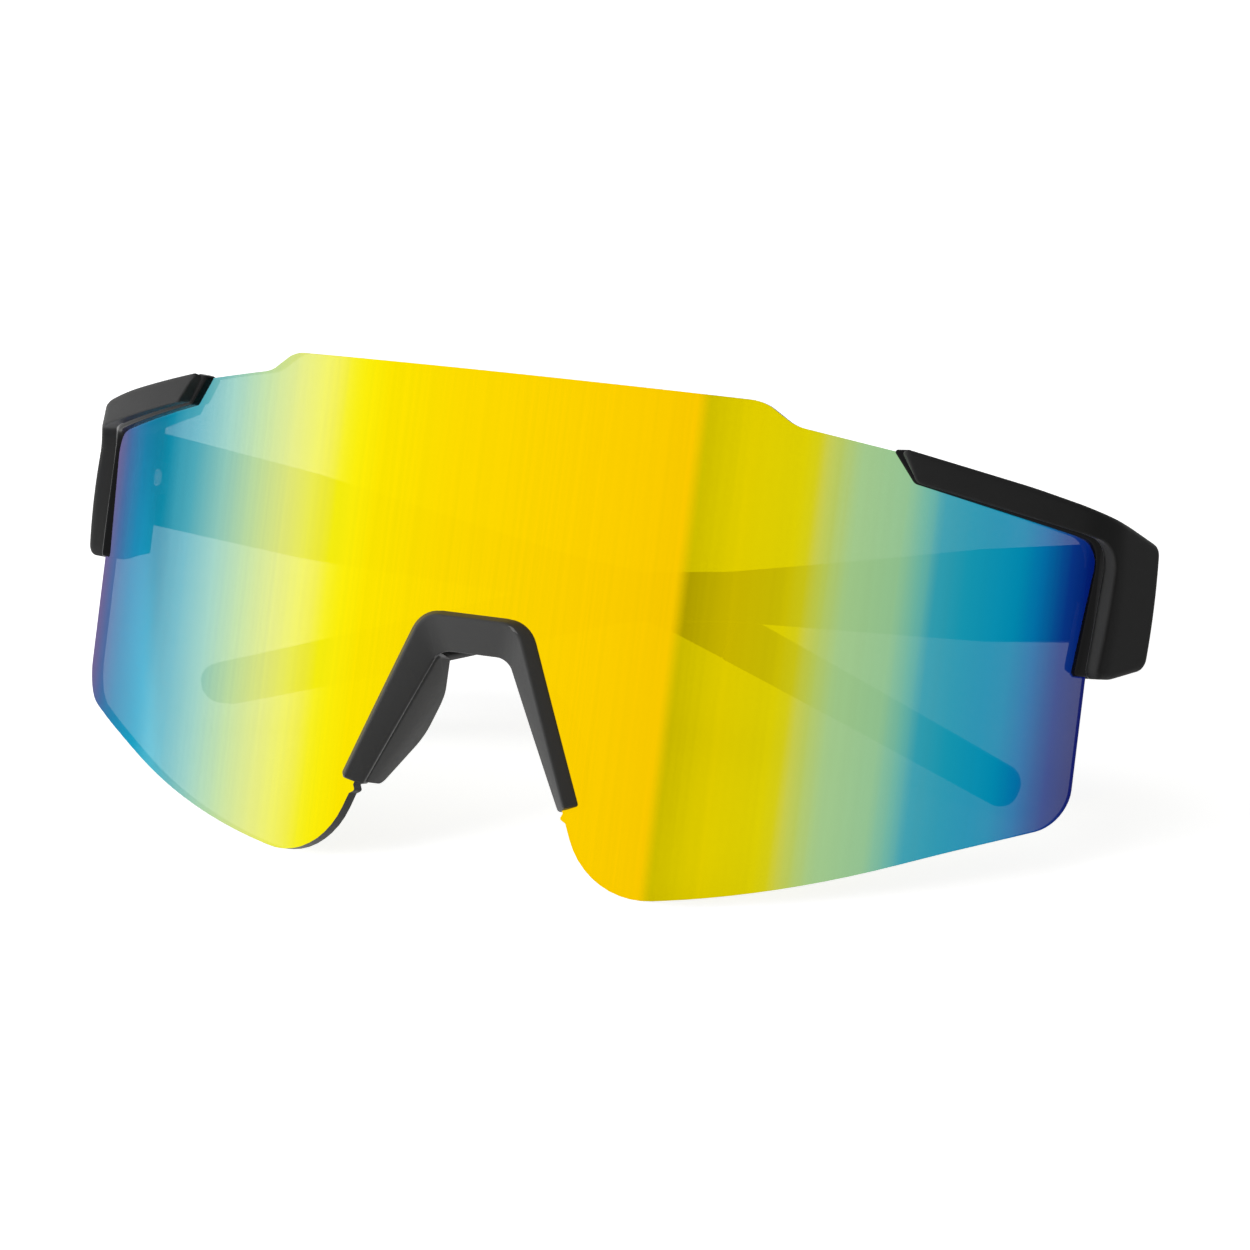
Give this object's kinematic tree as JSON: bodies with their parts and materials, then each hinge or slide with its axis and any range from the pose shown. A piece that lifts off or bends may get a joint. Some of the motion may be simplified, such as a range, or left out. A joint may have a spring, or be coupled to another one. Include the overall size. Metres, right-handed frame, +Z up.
{
  "type": "folding shield glasses",
  "caption": "Frameless wrap-around shield glasses with one mirrored cylindrical lens, screwed end pieces, folding temples and a clip-on nose bridge, shown folded.",
  "frame": {"origin": "middle of the nose bridge's lower edge, at mid-thickness of the lens", "axes": "+X to the wearer's left along the width, +Y backwards from the lens to the temples, +Z up; the folded glasses stand on the lens lobes and the temple tips"},
  "size_m": [0.1424, 0.0544, 0.0559],
  "materials": {
    "mirror_lens": "polished, rainbow mirror coating",
    "frame_black": "fine satin grain",
    "gasket_black": "glossy",
    "clip_grey": "satin",
    "pad_rubber": "matte",
    "tip_rubber": "matte",
    "screw_steel": "turned",
    "insert_brass": "turned",
    "bush_nylon": "plain"
  },
  "bodies": {
    "front": {"lens_shield": "mirror_lens", "brow_cover_left": "frame_black", "brow_cover_right": "frame_black", "rim_gasket_left": "gasket_black", "rim_gasket_right": "gasket_black", "hinge_block_left": "frame_black", "hinge_block_right": "frame_black", "block_screw_left": "screw_steel", "block_screw_right": "screw_steel", "hinge_screw_left": "screw_steel", "hinge_screw_right": "screw_steel", "hinge_insert_left": "insert_brass", "hinge_insert_right": "insert_brass", "nose_bridge": "clip_grey", "nose_pad_left": "pad_rubber", "nose_pad_right": "pad_rubber"},
    "temple_left": {"temple_arm_left": "frame_black", "temple_tip_left": "tip_rubber", "hinge_bush_left": "bush_nylon"},
    "temple_right": {"temple_arm_right": "frame_black", "temple_tip_right": "tip_rubber", "hinge_bush_right": "bush_nylon"}
  },
  "joints": [
    {"name": "left_temple_hinge", "type": "hinge", "parent": "front", "child": "temple_left", "pos_m": [0.06878, 0.03613, 0.00189], "axis": [0, 0.4145, 0.9101], "range_deg": [-85, 0]},
    {"name": "right_temple_hinge", "type": "hinge", "parent": "front", "child": "temple_right", "pos_m": [-0.06878, 0.03613, 0.00189], "axis": [0, 0.4145, 0.9101], "range_deg": [0, 81.59]}
  ]
}
